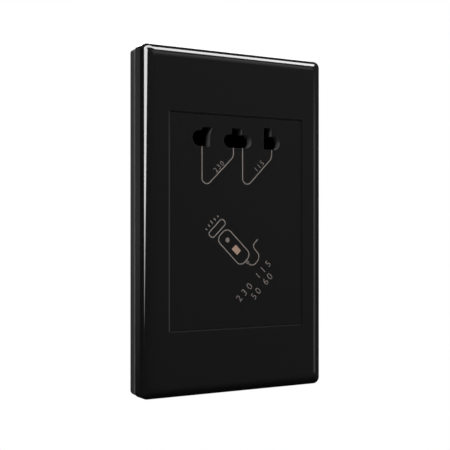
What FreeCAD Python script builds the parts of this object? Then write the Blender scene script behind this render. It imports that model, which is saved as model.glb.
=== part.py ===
import FreeCAD, Part
import math
import os

V = FreeCAD.Vector
ALONG_Y = V(0, 1, 0)
ALONG_Z = V(0, 0, 1)

# Frame: origin at the middle of the wall plane, +X to the viewer's right, +Y into the wall, +Z up.

# Overall size of the wall plate
PLATE_W = 86.0
PLATE_H = 146.0
PROJECTION = 16.2
COVER_DEPTH = 9.6
CORNER_R = 3.2
FRONT_FILLET = 2.8
WALL = 2.2
COVER_FACE = 3.0
INNER_R = 1.0
FLAT_GAP = 0.1

# How far a cutting shape runs past the face that it opens
OVER = 1.0

# Mounting frame behind the cover
RIM_INSET = 0.1
RIM_CORNER_R = 2.0
RIM_EDGE_ROUND = 0.5
WEB = 2.6
WINDOW_FREE = 0.6
FIXING_CENTRES = 120.6
FIXING_R = 2.1
FIXING_HEAD_R = 4.0
FIXING_SINK = 1.0
FRAME_COLLAR_END = 1.0
FRAME_RIB_END = 1.5
FRAME_RIB_ZS = (-35.0, 0.0, 35.0)

# Snap hooks and ribs inside the cover
HOOK_INSET = 6.0
HOOK_T = 1.4
HOOK_W = 6.0
HOOK_NOSE = 1.0
HOOK_NOSE_T = 1.0
HOOK_FREE = 0.3
HOOK_ZS = (-52.0, -18.0, 18.0, 52.0)
RIB_T = 1.4
RIB_X = 22.0
RIB_SHORT = 2.0

# Socket panel in the middle of the cover
PANEL_W = 63.0
PANEL_H = 90.0
PANEL_GAP = 0.15
PANEL_SINK = 0.2
PANEL_FACE = 4.0
PANEL_SKIRT = 1.6
PANEL_CORNER_R = 0.5
COLLAR = 1.6
COLLAR_SHORT = 0.4
BEVEL_W = 0.7
BEVEL_DROP = 0.2
POST_INSET = 4.0
POST_HALF_X = 1.5
POST_HALF_Z = 6.0

# Apertures for the plug pins: rows share one floor height
FLOOR_Z = 31.6
LOBE_230_X = -18.0
LOBE_230_R = 3.4
SIDE_230_X = -13.5
SLANT_230_Z = 36.2
SLANT_230_X = -12.2
TOP_230_Z = 39.8
TOP_230_X = -16.6
COMMON_X = -0.2
COMMON_HALF = 6.6
COMMON_R = 2.9
BUMP_X = -0.6
BUMP_W = 4.6
BUMP_TOP_Z = 40.0
SLOT_115_X = 12.6
SLOT_115_W = 3.7
SLOT_115_TOP_Z = 40.9
LOBE_115_X = 17.6
LOBE_115_R = 2.9

# Rear housing in the wall box
HOUSING_W = 54.0
HOUSING_H = 86.0
HOUSING_BACK = 35.0
HOUSING_FRONT = -9.0
HOUSING_WALL = 2.0
HOUSING_R = 2.0
COLUMN_FOOT = 1.0
REST_HALF_X = 2.5
REST_HALF_Z = 10.0
LATCH_OUT = 1.6
LATCH_T = 2.9
LATCH_W = 8.0
LATCH_Z = 16.0
LATCH_FREE = 0.5
LATCH_NOTCH = 4.0
VENT_COUNT = 6
VENT_PITCH = 5.0
VENT_W = 1.8
VENT_Y0 = 8.0
VENT_Y1 = 24.0

# Columns and screws that close the housing
COLUMN_X = 21.0
COLUMN_UP = 7.0
COLUMN_EDGE = 6.0
COLUMN_R = 4.5
BOSS_R = 3.5
SCREW_R = 1.25
SCREW_FREE = 0.15
SCREW_HEAD_R = 2.8
SCREW_HEAD_H = 2.0
SCREW_SEAT_Y = 8.0
SCREW_TIP_Y = -8.0
SINK_R = 3.2
DRIVE_SLOT_W = 0.8
DRIVE_SLOT_D = 0.7

# Contact carrier behind the panel
CARRIER_HALF = 24.6
CARRIER_Z0 = 24.0
CARRIER_ROOF = 1.6
CARRIER_BACK = 11.5
CARRIER_FLOOR = 9.0
POCKET_230 = (-23.2, -10.6)
POCKET_COMMON = (-8.4, 8.8)
POCKET_115 = (10.8, 23.2)
POCKET_Z0 = 30.2
POCKET_Z1 = 41.8
CARRIER_SCREW_X = 9.7
CARRIER_SCREW_UP = 3.0
CARRIER_HEAD_R = 2.2
CARRIER_HEAD_H = 1.6
CARRIER_SINK_R = 2.5
CARRIER_TIP = 1.6

# Spring contacts, drawn in the spread position that they take with a plug in
STRIP = 0.5
PIN_SPREAD = 2.65
CONTACT_FRONT = -8.0
LEAF_230_HALF = 2.4
LEAF_115_HALF = 1.2
FINGER_HALF = 2.0
FINGER_FREE = 0.3
COMMON_SHORT = 0.4
TAIL_W = 2.4
TAIL_END = 15.4
TAIL_Z = 31.2
TAIL_FREE = 0.2

# Primary switch worked by the plug pins
TRAVEL = 3.0
STEM_R = 1.5
STEM_FREE = 0.05
STEM_HOLE_FREE = 0.3
HEAD_FRONT = 0.5
HEAD_T = 2.5
HEAD_HALF_X = 5.2
HEAD_HALF_Z = 2.25
GUIDE_END = 13.3
GUIDE_R = 2.7
BRIDGE_T = 0.8
BRIDGE_HALF_X = 8.4
BRIDGE_HALF_Z = 1.8
BUTTON_X = 6.8
BUTTON_R = 1.4
BUTTON_H = 0.7
BUTTON_SINK = 0.1
RIVET_R = 1.0
CAP_R = 1.7
CAP_T = 0.9
CLOSED_GAP = 0.2
SPRING_WIRE_R = 0.2
SPRING_R = 2.05
SPRING_TURNS = 4
SPRING_STEPS = 12
SPRING_SIDES = 6
TOWER_X0 = 9.2
TOWER_X1 = 12.6
TOWER_HALF_Z = 2.0
FIXED_T = 0.8
FIXED_HALF_Z = 1.8
FIXED_INNER_X = 4.8
FIXED_TAG_X = 15.2

# Terminals in the step at the top of the housing's back
STEP_DOWN = 5.5
STEP_Y = 22.0
STEP_HALF = 19.0
STEP_LAP = 0.5
BLOCK_FREE = 0.2
PILLAR_PITCH = 12.0
PILLAR_W = 7.0
PILLAR_Y0 = 24.0
PILLAR_Y1 = 32.0
PILLAR_UP = 2.0
PILLAR_TOP = 2.0
WIRE_R = 1.8
WIRE_Y = 27.6
WIRE_FLOOR = 1.0
ENTRY_R = 2.2
CLAMP_R = 1.65
CLAMP_HOLE_R = 1.75
CLAMP_TIP_Y = 29.8
CLAMP_TOP_Y = 34.2
TAG_T = 0.8
TAG_W = 3.0
TAG_FREE = 0.3
TAG_IN = 2.0
LINE_TAG_UP = 3.6
NEUTRAL_TAG_UP = 0.4

# Transformer
CORE_W = 48.0
CORE_H = 40.0
CORE_UP = 32.0
CORE_Y0 = 5.0
CORE_STACK = 20.0
LEG = 16.0
LEG_FREE = 0.2
WINDOW = 8.0
TUBE_WALL = 0.8
TUBE_R = 0.5
FLANGE = 1.0
COIL_OUT = 6.6
COIL_SHORT = 0.4
COIL_R = 3.0
TAPE = 0.3
TAPE_INSET = 0.1
WINDING_GAP = 0.3
PIN_HALF = 0.5
PIN_L = 4.0
PIN_INSET = 2.0
PRIMARY_PIN_X = 8.0
SECONDARY_PIN_X = 9.0
STRAP_T = 0.6
STRAP_W = 7.6
CUTOUT_W = 10.0
CUTOUT_D = 3.4
CUTOUT_H = 5.0
CUTOUT_R = 0.8

# Insulated leads inside the housing
LEAD_R = 0.8
LEAD_SIDES = 8
BEND_R = 1.6
LEAD_FREE = 0.3
RUN_Y = 14.2
RUN_UP = 8.0
SECONDARY_UP = 4.5
PRIMARY_UP = 2.5
LOAD_INSET = 1.2
NEUTRAL_INSET = 0.4
NEUTRAL_FRONT = 2.0

FRONT = -PROJECTION
COVER_BACK = FRONT + COVER_DEPTH
WEB_BACK = COVER_BACK + WEB
HOOK_X = PLATE_W / 2 - HOOK_INSET
PANEL_FRONT = FRONT + PANEL_SINK
PANEL_BACK = PANEL_FRONT + PANEL_FACE
PIN_Z = FLOOR_Z + COMMON_R
LOBE_230_Z = FLOOR_Z + LOBE_230_R
LOBE_115_Z = FLOOR_Z + LOBE_115_R
HOUSING_TOP = HOUSING_H / 2
CORE_Z = CORE_UP - HOUSING_TOP
CORE_TOP = CORE_Z + CORE_H / 2
COLUMN_ZS = (CORE_TOP + COLUMN_UP, COLUMN_EDGE - HOUSING_TOP)
COLUMNS = [(x, z) for x in (-COLUMN_X, COLUMN_X) for z in COLUMN_ZS]
CARRIER_Z1 = POCKET_Z1 + CARRIER_ROOF
CARRIER_SCREW_Z = CARRIER_Z0 + CARRIER_SCREW_UP
BASE_Y = CARRIER_FLOOR - STRIP
BRIDGE_FRONT = GUIDE_END + FLAT_GAP
BUTTON_END = BRIDGE_FRONT + BRIDGE_T + BUTTON_H
FIXED_Y = BUTTON_END + TRAVEL + CLOSED_GAP
STEP_Z = PIN_Z - STEP_DOWN
PILLAR_Z0 = STEP_Z + PILLAR_UP
PILLAR_Z1 = HOUSING_TOP - PILLAR_TOP
LINE_TAG_Z = PILLAR_Z0 + LINE_TAG_UP
NEUTRAL_TAG_Z = PILLAR_Z0 + NEUTRAL_TAG_UP
TAG_PLACES = ((-PILLAR_PITCH, LINE_TAG_Z), (PILLAR_PITCH, NEUTRAL_TAG_Z))
CORE_Y1 = CORE_Y0 + CORE_STACK
COIL_HALF_H = CORE_H / 2 - WINDOW - LEG_FREE
COIL_TOP = CORE_Z + COIL_HALF_H
COIL_BOTTOM = CORE_Z - COIL_HALF_H
LEG_HOLE = (LEG / 2 + LEG_FREE, CORE_Y0 - LEG_FREE, CORE_Y1 + LEG_FREE)
TUBE_HALF_X = LEG_HOLE[0] + TUBE_WALL
TUBE_Y0 = LEG_HOLE[1] - TUBE_WALL
TUBE_Y1 = LEG_HOLE[2] + TUBE_WALL
COIL_HALF_X = LEG / 2 + WINDOW - COIL_SHORT
COIL_Y0 = CORE_Y0 - COIL_OUT
COIL_Y1 = CORE_Y1 + COIL_OUT
PIN_ROW_Y = COIL_Y1 - PIN_INSET
PRIMARY_PIN_Y = COIL_Y0 + PIN_INSET
PRIMARY_PIN_Z = COIL_BOTTOM - PIN_L / 2
PRIMARY_PIN_FACE = PRIMARY_PIN_Y - PIN_HALF - FLAT_GAP
CUTOUT_Y1 = COIL_Y0 - FLAT_GAP
CUTOUT_Y = CUTOUT_Y1 - CUTOUT_D / 2
CUTOUT_Z = CORE_Z - COIL_HALF_H / 2
RUN_Z = COLUMN_ZS[0] + RUN_UP
SECONDARY_Z = CORE_TOP + SECONDARY_UP
PRIMARY_Z = CORE_TOP + PRIMARY_UP


def box(x0, x1, y0, y1, z0, z1):
    """A block between two corners."""
    return Part.makeBox(x1 - x0, y1 - y0, z1 - z0, V(x0, y0, z0))


def rod_y(x, z, r, y0, y1):
    """A round bar along Y."""
    return Part.makeCylinder(r, y1 - y0, V(x, y0, z), ALONG_Y)


def rod_z(x, y, r, z0, z1):
    """A round bar along Z."""
    return Part.makeCylinder(r, z1 - z0, V(x, y, z0), ALONG_Z)


def slab(width, height, r, y0, y1):
    """A block centred on X and Z with its four edges along Y rounded."""
    block = box(-width / 2, width / 2, y0, y1, -height / 2, height / 2)
    along = [e for e in block.Edges if abs(e.tangentAt(e.FirstParameter).y) > 0.99]
    return block.makeFillet(r, along)


def round_front(solid, y, r):
    """Rounds the edges of the solid that lie in the plane at y."""
    rim = [e for e in solid.Edges if all(abs(v.Y - y) < 1e-6 for v in e.Vertexes)]
    return solid.makeFillet(r, rim)


def prism(points, y0, y1):
    """A straight prism along Y from an outline of X and Z points."""
    outline = [V(x, y0, z) for x, z in points]
    outline.append(outline[0])
    return Part.Face(Part.makePolygon(outline)).extrude(V(0, y1 - y0, 0))


def join(first, *others):
    """One solid from pieces that meet."""
    solid = first
    for other in others:
        solid = solid.fuse(other)
    return solid.removeSplitter()


def drill(solid, *tools):
    """The solid with each tool's shape taken away."""
    for tool in tools:
        solid = solid.cut(tool)
    return solid


def save(name, *solids):
    """One STEP file for a node, a group of separate solids where there are more."""
    shape = solids[0] if len(solids) == 1 else Part.makeCompound(list(solids))
    shape.exportStep(os.path.join("parts", name + ".step"))
    print(name, len(shape.Solids), round(shape.Volume), shape.isValid())


def aperture_230(y0, y1):
    """The left opening: a round-pin lobe, a square floor and a slanting blade slot."""
    lobe = rod_y(LOBE_230_X, LOBE_230_Z, LOBE_230_R, y0, y1)
    slot = prism(
        [
            (LOBE_230_X, FLOOR_Z),
            (SIDE_230_X, FLOOR_Z),
            (SIDE_230_X, SLANT_230_Z),
            (SLANT_230_X, TOP_230_Z),
            (TOP_230_X, TOP_230_Z),
            (LOBE_230_X, SLANT_230_Z),
        ],
        y0,
        y1,
    )
    return join(lobe, slot)


def aperture_common(y0, y1):
    """The middle opening: a long round-ended slot with a square bump for upright blades."""
    reach = COMMON_HALF - COMMON_R
    ends = [rod_y(COMMON_X + side * reach, PIN_Z, COMMON_R, y0, y1) for side in (-1, 1)]
    middle = box(COMMON_X - reach, COMMON_X + reach, y0, y1, FLOOR_Z, FLOOR_Z + 2 * COMMON_R)
    bump = box(BUMP_X - BUMP_W / 2, BUMP_X + BUMP_W / 2, y0, y1, PIN_Z, BUMP_TOP_Z)
    return join(middle, bump, *ends)


def aperture_115(y0, y1):
    """The right opening: an upright blade slot that runs into a round-pin lobe."""
    lobe = rod_y(LOBE_115_X, LOBE_115_Z, LOBE_115_R, y0, y1)
    neck = box(SLOT_115_X, LOBE_115_X, y0, y1, FLOOR_Z, FLOOR_Z + 2 * LOBE_115_R)
    slot = box(SLOT_115_X, SLOT_115_X + SLOT_115_W, y0, y1, FLOOR_Z, SLOT_115_TOP_Z)
    return join(lobe, neck, slot)


def cover_hooks():
    """Snap hooks inside the long sides of the cover, with noses that catch behind the web."""
    hooks = []
    nose_y = WEB_BACK + FLAT_GAP
    for side in (-1, 1):
        for z in HOOK_ZS:
            stem_x = sorted((side * (HOOK_X - HOOK_T / 2), side * (HOOK_X + HOOK_T / 2)))
            nose_x = sorted((side * HOOK_X, side * (HOOK_X + HOOK_T / 2 + HOOK_NOSE)))
            z0, z1 = z - HOOK_W / 2, z + HOOK_W / 2
            hooks.append(box(*stem_x, FRONT + COVER_FACE, nose_y + HOOK_NOSE_T, z0, z1))
            hooks.append(box(*nose_x, nose_y, nose_y + HOOK_NOSE_T, z0, z1))
    return hooks


def cover_ribs():
    """Stiffening ribs between the collar round the panel and the cover's short sides."""
    ribs = []
    inner = PANEL_H / 2 + PANEL_GAP + COLLAR / 2
    outer = PLATE_H / 2 - WALL / 2
    for x in (-RIB_X, RIB_X):
        for z0, z1 in ((inner, outer), (-outer, -inner)):
            ribs.append(box(x - RIB_T / 2, x + RIB_T / 2, FRONT + COVER_FACE, COVER_BACK - RIB_SHORT, z0, z1))
    return ribs


def window_bevel(width, height):
    """The shallow slope from the cover's face down to the panel, all round the window."""
    outlines = []
    for y, grow in ((FRONT, BEVEL_W), (FRONT + BEVEL_DROP, 0.0)):
        x, z = width / 2 + grow, height / 2 + grow
        corners = [V(-x, y, -z), V(x, y, -z), V(x, y, z), V(-x, y, z), V(-x, y, -z)]
        outlines.append(Part.makePolygon(corners))
    return Part.makeLoft(outlines, True, True)


def cover_frame():
    """The glossy moulded cover: a shallow tray with a window, a collar, ribs and snap hooks."""
    body = round_front(slab(PLATE_W, PLATE_H, CORNER_R, FRONT, COVER_BACK), FRONT, FRONT_FILLET)
    inside = slab(PLATE_W - 2 * WALL, PLATE_H - 2 * WALL, INNER_R, FRONT + COVER_FACE, COVER_BACK)
    window_w, window_h = PANEL_W + 2 * PANEL_GAP, PANEL_H + 2 * PANEL_GAP
    collar_end = COVER_BACK - COLLAR_SHORT
    collar = slab(window_w + 2 * COLLAR, window_h + 2 * COLLAR, INNER_R, FRONT + COVER_FACE, collar_end)
    window = slab(window_w, window_h, PANEL_CORNER_R, FRONT - OVER, COVER_BACK)
    tray = join(body.cut(inside), collar, *cover_hooks(), *cover_ribs())
    return drill(tray, window, window_bevel(window_w, window_h))


def frame_ribs(window_x, window_z):
    """Ribs on the back of the web from the collar to the rim."""
    ribs = []
    outer_x = PLATE_W / 2 - RIM_INSET - WALL / 2
    outer_z = PLATE_H / 2 - RIM_INSET - WALL / 2
    for side in (-1, 1):
        for z in FRAME_RIB_ZS:
            x0, x1 = sorted((side * (window_x + COLLAR / 2), side * outer_x))
            ribs.append(box(x0, x1, WEB_BACK, -FRAME_RIB_END, z - RIB_T / 2, z + RIB_T / 2))
        for x in (-RIB_X, RIB_X):
            z0, z1 = sorted((side * (window_z + COLLAR / 2), side * outer_z))
            ribs.append(box(x - RIB_T / 2, x + RIB_T / 2, WEB_BACK, -FRAME_RIB_END, z0, z1))
    return ribs


def latch_windows():
    """Notches in the collar where the housing's latches spring out behind the web."""
    notches = []
    half = LATCH_W / 2 + LATCH_FREE
    for side in (-1, 1):
        for z in (-LATCH_Z, LATCH_Z):
            x0, x1 = sorted((side * HOUSING_W / 2, side * (HOUSING_W / 2 + LATCH_NOTCH)))
            notches.append(box(x0, x1, WEB_BACK, OVER, z - half, z + half))
    return notches


def hook_slots():
    """Slots in the web that the cover's snap hooks pass through."""
    slots = []
    half_x, half_z = HOOK_T / 2 + HOOK_FREE, HOOK_W / 2 + HOOK_FREE
    for x in (-HOOK_X, HOOK_X):
        for z in HOOK_ZS:
            x0, x1 = x - half_x, x + half_x
            slots.append(box(x0, x1, COVER_BACK - OVER, WEB_BACK + OVER, z - half_z, z + half_z))
    return slots


def mounting_frame():
    """The frame fixed to the wall box: a rim that shows behind the cover and a web with the fixings."""
    rim_w, rim_h = PLATE_W - 2 * RIM_INSET, PLATE_H - 2 * RIM_INSET
    body = round_front(slab(rim_w, rim_h, RIM_CORNER_R, COVER_BACK, 0.0), COVER_BACK, RIM_EDGE_ROUND)
    hollow = slab(rim_w - 2 * WALL, rim_h - 2 * WALL, INNER_R, WEB_BACK, 0.0)
    window_w = HOUSING_W + 2 * WINDOW_FREE
    window_h = 2 * max(HOUSING_TOP + WINDOW_FREE, CARRIER_Z1 + BLOCK_FREE)
    collar = slab(window_w + 2 * COLLAR, window_h + 2 * COLLAR, INNER_R, WEB_BACK, -FRAME_COLLAR_END)
    cuts = [slab(window_w, window_h, INNER_R, COVER_BACK - OVER, OVER)]
    for z in (-FIXING_CENTRES / 2, FIXING_CENTRES / 2):
        cuts.append(rod_y(0, z, FIXING_R, COVER_BACK - OVER, OVER))
        cuts.append(rod_y(0, z, FIXING_HEAD_R, COVER_BACK - OVER, COVER_BACK + FIXING_SINK))
    frame = join(body.cut(hollow), collar, *frame_ribs(window_w / 2, window_h / 2))
    return drill(frame, *cuts, *hook_slots(), *latch_windows())


def socket_panel():
    """The flush panel with the three apertures, a skirt, screw bosses and posts that press on the core."""
    body = slab(PANEL_W, PANEL_H, PANEL_CORNER_R, PANEL_FRONT, COVER_BACK)
    skirt_w, skirt_h = PANEL_W - 2 * PANEL_SKIRT, PANEL_H - 2 * PANEL_SKIRT
    shell = body.cut(slab(skirt_w, skirt_h, INNER_R, PANEL_BACK, COVER_BACK))
    bosses = [rod_y(x, z, BOSS_R, PANEL_BACK, -FLAT_GAP) for x, z in COLUMNS]
    posts = []
    for x in (POST_INSET - CORE_W / 2, CORE_W / 2 - POST_INSET):
        x0, x1 = x - POST_HALF_X, x + POST_HALF_X
        posts.append(box(x0, x1, PANEL_BACK, CORE_Y0 - FLAT_GAP, CORE_Z - POST_HALF_Z, CORE_Z + POST_HALF_Z))
    panel = join(shell, *bosses, *posts)
    bore_r = SCREW_R + SCREW_FREE
    bores = [rod_y(x, z, bore_r, SCREW_TIP_Y - OVER, OVER) for x, z in COLUMNS]
    for x in (-CARRIER_SCREW_X, CARRIER_SCREW_X):
        bores.append(rod_y(x, CARRIER_SCREW_Z, bore_r, PANEL_FRONT + OVER, PANEL_BACK + OVER))
    through = (PANEL_FRONT - OVER, PANEL_BACK + OVER)
    return drill(panel, aperture_230(*through), aperture_common(*through), aperture_115(*through), *bores)


def housing_latches(half_x):
    """Wedges on the housing's long sides that hold it behind the web."""
    latches = []
    y0 = WEB_BACK + FLAT_GAP
    for side in (-1, 1):
        for z in (-LATCH_Z, LATCH_Z):
            x0, x1 = sorted((side * (half_x - HOUSING_WALL / 2), side * (half_x + LATCH_OUT)))
            latches.append(box(x0, x1, y0, y0 + LATCH_T, z - LATCH_W / 2, z + LATCH_W / 2))
    return latches


def vents(half_x):
    """Cooling slots in both sides of the housing, level with the core."""
    slots = []
    for side in (-1, 1):
        for k in range(VENT_COUNT):
            z = CORE_Z + (k - (VENT_COUNT - 1) / 2) * VENT_PITCH
            x0, x1 = sorted((side * (half_x - HOUSING_WALL - FLAT_GAP), side * (half_x + OVER)))
            slots.append(box(x0, x1, VENT_Y0, VENT_Y1, z - VENT_W / 2, z + VENT_W / 2))
    return slots


def tag_hole(x, z, y0, y1):
    """The free hole round a terminal tag."""
    half_w, half_t = TAG_W / 2 + TAG_FREE, TAG_T / 2 + TAG_FREE
    return box(x - half_w, x + half_w, y0, y1, z - half_t, z + half_t)


def rear_housing():
    """The box behind the wall plane: columns, core rests, vents, latches and a step for the terminals."""
    half_x, half_z = HOUSING_W / 2, HOUSING_TOP
    shell = slab(HOUSING_W, HOUSING_H, HOUSING_R, HOUSING_FRONT, HOUSING_BACK)
    inner_w, inner_h = HOUSING_W - 2 * HOUSING_WALL, HOUSING_H - 2 * HOUSING_WALL
    inside = slab(inner_w, inner_h, INNER_R, HOUSING_FRONT, HOUSING_BACK - HOUSING_WALL)
    lining_half, lining_y0 = STEP_HALF + HOUSING_WALL, STEP_Y - HOUSING_WALL
    lining_y1, lining_z1 = HOUSING_BACK - STEP_LAP, half_z - STEP_LAP
    lining = box(-lining_half, lining_half, lining_y0, lining_y1, STEP_Z - HOUSING_WALL, lining_z1)
    foot = HOUSING_BACK - COLUMN_FOOT
    columns = [rod_y(x, z, COLUMN_R, 0.0, foot) for x, z in COLUMNS]
    rests = []
    for x in (REST_HALF_X - CORE_W / 2, CORE_W / 2 - REST_HALF_X):
        x0, x1 = x - REST_HALF_X, x + REST_HALF_X
        rests.append(box(x0, x1, CORE_Y1, foot, CORE_Z - REST_HALF_Z, CORE_Z + REST_HALF_Z))
    housing = join(shell.cut(inside), lining, *columns, *rests, *housing_latches(half_x))
    step = box(-STEP_HALF, STEP_HALF, STEP_Y, HOUSING_BACK + OVER, STEP_Z, half_z + OVER)
    seat_half, seat_back = CARRIER_HALF + FLAT_GAP, CARRIER_BACK + FLAT_GAP
    carrier_seat = box(-seat_half, seat_half, HOUSING_FRONT - OVER, seat_back, CARRIER_Z0, half_z + OVER)
    cuts = [step, carrier_seat]
    for x, z in COLUMNS:
        cuts.append(rod_y(x, z, SCREW_R + SCREW_FREE, -OVER, HOUSING_BACK))
        cuts.append(rod_y(x, z, SINK_R, SCREW_SEAT_Y, HOUSING_BACK + OVER))
    for x, z in TAG_PLACES:
        cuts.append(tag_hole(x, z, lining_y0 - OVER, STEP_Y + OVER))
    return drill(housing, *cuts, *vents(half_x))


def slotted_screw(x, z, tip_y, seat_y, r, head_r, head_h):
    """A cheese-head screw along Y with its head towards the back."""
    shank = rod_y(x, z, r, tip_y, seat_y)
    top = seat_y + head_h
    head = rod_y(x, z, head_r, seat_y, top)
    slot = box(x - head_r, x + head_r, top - DRIVE_SLOT_D, top, z - DRIVE_SLOT_W / 2, z + DRIVE_SLOT_W / 2)
    return join(shank, head).cut(slot)


def housing_screws():
    """The screws that pull the housing on to the panel's bosses."""
    size = (SCREW_TIP_Y, SCREW_SEAT_Y, SCREW_R, SCREW_HEAD_R, SCREW_HEAD_H)
    return [slotted_screw(x, z, *size) for x, z in COLUMNS]


def carrier_screws():
    """The short screws that hold the contact carrier to the panel."""
    size = (PANEL_FRONT + CARRIER_TIP, CARRIER_FLOOR, SCREW_R, CARRIER_HEAD_R, CARRIER_HEAD_H)
    return [slotted_screw(x, CARRIER_SCREW_Z, *size) for x in (-CARRIER_SCREW_X, CARRIER_SCREW_X)]


def contact_carrier():
    """The insulating block with a pocket for each contact, the plunger's guide and the switch towers."""
    block = box(-CARRIER_HALF, CARRIER_HALF, PANEL_BACK, CARRIER_BACK, CARRIER_Z0, CARRIER_Z1)
    guide = rod_y(COMMON_X, PIN_Z, GUIDE_R, CARRIER_BACK - OVER, GUIDE_END)
    towers = []
    for side in (-1, 1):
        x0, x1 = sorted((side * TOWER_X0, side * TOWER_X1))
        towers.append(box(x0, x1, CARRIER_BACK - OVER, FIXED_Y, PIN_Z - TOWER_HALF_Z, PIN_Z + TOWER_HALF_Z))
    carrier = join(block, guide, *towers)
    cuts = [rod_y(COMMON_X, PIN_Z, STEM_R + STEM_FREE, CARRIER_FLOOR - OVER, GUIDE_END + OVER)]
    for x0, x1 in (POCKET_230, POCKET_COMMON, POCKET_115):
        cuts.append(box(x0, x1, PANEL_BACK - OVER, CARRIER_FLOOR, POCKET_Z0, POCKET_Z1))
    half_w, half_t = TAIL_W / 2 + TAIL_FREE, STRIP / 2 + TAIL_FREE
    z0, z1 = TAIL_Z - half_t, TAIL_Z + half_t
    for x in (LOBE_230_X, COMMON_X, LOBE_115_X):
        cuts.append(box(x - half_w, x + half_w, CARRIER_FLOOR - OVER, GUIDE_END + OVER, z0, z1))
    for x in (-CARRIER_SCREW_X, CARRIER_SCREW_X):
        cuts.append(rod_y(x, CARRIER_SCREW_Z, SCREW_R + SCREW_FREE, PANEL_BACK - OVER, CARRIER_BACK + OVER))
        cuts.append(rod_y(x, CARRIER_SCREW_Z, CARRIER_SINK_R, CARRIER_FLOOR, CARRIER_BACK + OVER))
    return drill(carrier, *cuts)


def leaf(x0, x1, face_z, outward):
    """A flat finger that runs forward from the contact's base, above or below the pin."""
    z0, z1 = sorted((face_z, face_z + outward * STRIP))
    return box(x0, x1, CONTACT_FRONT, CARRIER_FLOOR, z0, z1)


def tail(x):
    """The tongue that goes out through the carrier's back to its lead."""
    return box(x - TAIL_W / 2, x + TAIL_W / 2, BASE_Y, TAIL_END, TAIL_Z - STRIP / 2, TAIL_Z + STRIP / 2)


def pin_contact(lobe_x, lobe_z, leaf_half, side_x, side_outward):
    """A folded brass contact: a finger above and below the round pin and one beside the blade."""
    x0, x1 = lobe_x - leaf_half, lobe_x + leaf_half
    upper = leaf(x0, x1, lobe_z + PIN_SPREAD, 1)
    lower = leaf(x0, x1, lobe_z - PIN_SPREAD, -1)
    finger_x = sorted((side_x, side_x + side_outward * STRIP))
    side = box(*finger_x, CONTACT_FRONT, CARRIER_FLOOR, lobe_z - FINGER_HALF, lobe_z + FINGER_HALF)
    base_x = (min(x0, finger_x[0]), max(x1, finger_x[1]))
    z0, z1 = TAIL_Z - STRIP / 2, lobe_z + PIN_SPREAD + STRIP
    base = box(*base_x, BASE_Y, CARRIER_FLOOR, z0, z1)
    return join(base, upper, lower, side, tail(lobe_x))


def contact_common():
    """The long contact behind the middle opening, with a gap for the blade and a hole for the plunger."""
    half = COMMON_HALF - COMMON_SHORT
    x0, x1 = COMMON_X - half, COMMON_X + half
    blade_half = BUMP_W / 2 + FINGER_FREE
    lower = leaf(x0, x1, PIN_Z - PIN_SPREAD, -1)
    upper_left = leaf(x0, BUMP_X - blade_half, PIN_Z + PIN_SPREAD, 1)
    upper_right = leaf(BUMP_X + blade_half, x1, PIN_Z + PIN_SPREAD, 1)
    z0, z1 = TAIL_Z - STRIP / 2, PIN_Z + PIN_SPREAD + STRIP
    base = box(x0, x1, BASE_Y, CARRIER_FLOOR, z0, z1)
    contact = join(base, lower, upper_left, upper_right, tail(COMMON_X))
    return contact.cut(rod_y(COMMON_X, PIN_Z, STEM_R + STEM_HOLE_FREE, BASE_Y - OVER, CARRIER_FLOOR + OVER))


def switch_plunger():
    """The insulating plunger: a flat head that the pins push and a round stem with a staked end."""
    x0, x1 = COMMON_X - HEAD_HALF_X, COMMON_X + HEAD_HALF_X
    head_back = HEAD_FRONT + HEAD_T
    head = box(x0, x1, HEAD_FRONT, head_back, PIN_Z - HEAD_HALF_Z, PIN_Z + HEAD_HALF_Z)
    stem = rod_y(COMMON_X, PIN_Z, STEM_R, head_back, BRIDGE_FRONT)
    bridge_back = BRIDGE_FRONT + BRIDGE_T
    rivet = rod_y(COMMON_X, PIN_Z, RIVET_R, BRIDGE_FRONT, bridge_back + CAP_T)
    cap = rod_y(COMMON_X, PIN_Z, CAP_R, bridge_back + STEM_FREE, bridge_back + CAP_T)
    return join(head, stem, rivet, cap)


def wire_section(centre, axis, r, sides):
    """The many-sided outline of a wire, square to the wire's direction."""
    across = axis.cross(ALONG_Z if abs(axis.y) > 0.9 else ALONG_Y).normalize()
    upward = axis.cross(across)
    corners = []
    for k in range(sides + 1):
        angle = (k + 0.5) * 2 * math.pi / sides
        corners.append(centre + across * (r * math.cos(angle)) + upward * (r * math.sin(angle)))
    return Part.makePolygon(corners)


def switch_spring():
    """The return spring on the stem, between the plunger's head and the common contact's base."""
    y0 = HEAD_FRONT + HEAD_T + SPRING_WIRE_R + STEM_FREE
    y1 = BASE_Y - SPRING_WIRE_R - STEM_FREE
    steps = SPRING_TURNS * SPRING_STEPS
    path = []
    for k in range(steps + 1):
        turn = 2 * math.pi * k / SPRING_STEPS
        x, z = SPRING_R * math.cos(turn), SPRING_R * math.sin(turn)
        path.append(V(COMMON_X + x, y0 + (y1 - y0) * k / steps, PIN_Z + z))
    section = wire_section(path[0], (path[1] - path[0]).normalize(), SPRING_WIRE_R, SPRING_SIDES)
    return Part.makePolygon(path).makePipeShell([section], True, False, 1)


def bridge_contact():
    """The moving brass bar with a silver button at each end."""
    back = BRIDGE_FRONT + BRIDGE_T
    z0, z1 = PIN_Z - BRIDGE_HALF_Z, PIN_Z + BRIDGE_HALF_Z
    bar = box(COMMON_X - BRIDGE_HALF_X, COMMON_X + BRIDGE_HALF_X, BRIDGE_FRONT, back, z0, z1)
    button_xs = (COMMON_X - BUTTON_X, COMMON_X + BUTTON_X)
    buttons = [rod_y(x, PIN_Z, BUTTON_R, back - BUTTON_SINK, BUTTON_END) for x in button_xs]
    hole = rod_y(COMMON_X, PIN_Z, RIVET_R + STEM_FREE, BRIDGE_FRONT - OVER, back + OVER)
    return join(bar, *buttons).cut(hole)


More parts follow.
